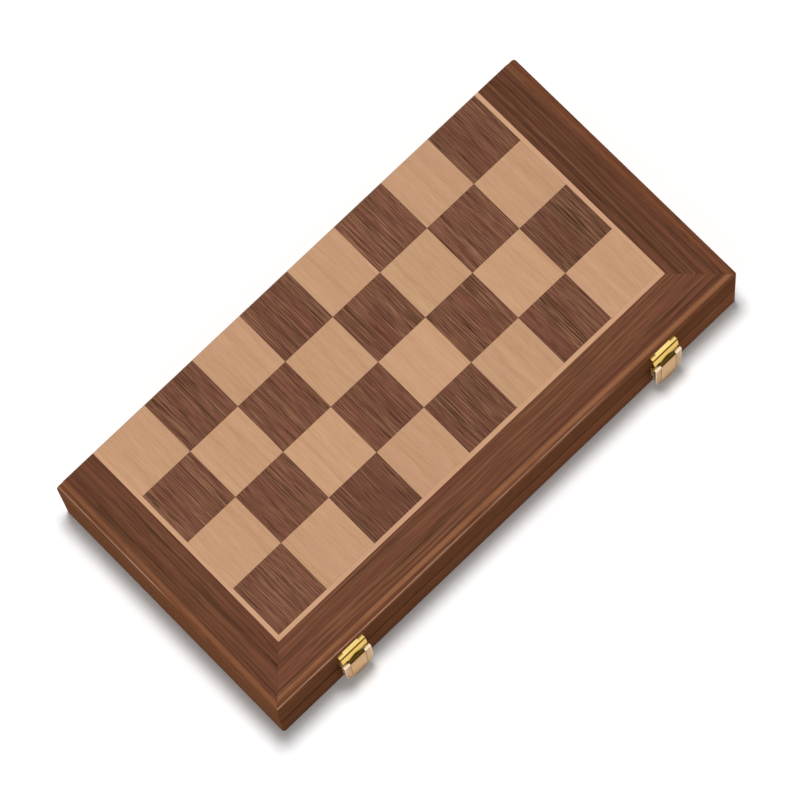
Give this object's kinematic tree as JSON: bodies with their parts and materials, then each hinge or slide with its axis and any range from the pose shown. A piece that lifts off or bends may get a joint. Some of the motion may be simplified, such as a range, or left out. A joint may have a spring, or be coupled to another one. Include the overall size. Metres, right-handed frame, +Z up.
{
  "type": "folding chess box",
  "caption": "Folding chess box: two hinged board halves with checkered outsides, closed by two brass flap clasps, with chessmen lying in fitted trays inside.",
  "frame": {"origin": "centre of the lower playing face, on which the closed box rests", "axes": "+Z up, +X along the length, +Y towards the hinges, -Y towards the clasps"},
  "size_m": [0.3882, 0.2039, 0.06],
  "materials": {
    "walnut_rail": "satin lacquered walnut, grain along the rail",
    "walnut_panel": "plain panel under the veneer",
    "walnut_border": "satin lacquered walnut veneer, grain along each strip",
    "maple_stringing": "satin lacquered maple",
    "walnut_squares": "satin lacquered walnut veneer",
    "maple_squares": "satin lacquered maple veneer",
    "tray_flock": "dark green flock over a moulded tray",
    "boxwood_men": "polished boxwood",
    "stained_men": "polished dark stained wood",
    "brass_clasp": "polished pressed brass",
    "brass_hinge": "polished brass",
    "brass_fastener": "brass screws and brads"
  },
  "bodies": {
    "lower_half": {"clasp_catch_brads": "brass_fastener", "clasp_catch_left": "brass_clasp", "clasp_catch_right": "brass_clasp", "hinge_pin_left": "brass_hinge", "hinge_pin_right": "brass_hinge", "light_bishops": "boxwood_men", "light_king": "boxwood_men", "light_knights": "boxwood_men", "light_pawns": "boxwood_men", "light_queen": "boxwood_men", "light_rooks": "boxwood_men", "lower_back_rail": "walnut_rail", "lower_border_veneer": "walnut_border", "lower_dark_squares": "walnut_squares", "lower_front_rail": "walnut_rail", "lower_hinge_leaf_left": "brass_hinge", "lower_hinge_leaf_right": "brass_hinge", "lower_hinge_screws": "brass_fastener", "lower_left_rail": "walnut_rail", "lower_light_squares": "maple_squares", "lower_panel": "walnut_panel", "lower_right_rail": "walnut_rail", "lower_stringing": "maple_stringing", "lower_tray": "tray_flock"},
    "upper_half": {"clasp_bracket_brads": "brass_fastener", "clasp_bracket_left": "brass_clasp", "clasp_bracket_right": "brass_clasp", "clasp_pin_left": "brass_clasp", "clasp_pin_right": "brass_clasp", "dark_bishops": "stained_men", "dark_king": "stained_men", "dark_knights": "stained_men", "dark_pawns": "stained_men", "dark_queen": "stained_men", "dark_rooks": "stained_men", "upper_back_rail": "walnut_rail", "upper_border_veneer": "walnut_border", "upper_dark_squares": "walnut_squares", "upper_front_rail": "walnut_rail", "upper_hinge_leaf_left": "brass_hinge", "upper_hinge_leaf_right": "brass_hinge", "upper_hinge_screws": "brass_fastener", "upper_left_rail": "walnut_rail", "upper_light_squares": "maple_squares", "upper_panel": "walnut_panel", "upper_right_rail": "walnut_rail", "upper_stringing": "maple_stringing", "upper_tray": "tray_flock"},
    "clasp_flap_left": {"clasp_flap_left": "brass_clasp"},
    "clasp_flap_right": {"clasp_flap_right": "brass_clasp"}
  },
  "joints": [
    {"name": "lid_hinge", "type": "hinge", "parent": "lower_half", "child": "upper_half", "pos_m": [0, 0.0976, 0.03], "axis": [-1, 0, 0], "range_deg": [0, 180]},
    {"name": "clasp_left_hinge", "type": "hinge", "parent": "upper_half", "child": "clasp_flap_left", "pos_m": [-0.1342, -0.10235, 0.043], "axis": [-1, 0, 0], "range_deg": [0, 105]},
    {"name": "clasp_right_hinge", "type": "hinge", "parent": "upper_half", "child": "clasp_flap_right", "pos_m": [0.1292, -0.10235, 0.043], "axis": [-1, 0, 0], "range_deg": [0, 105]}
  ]
}
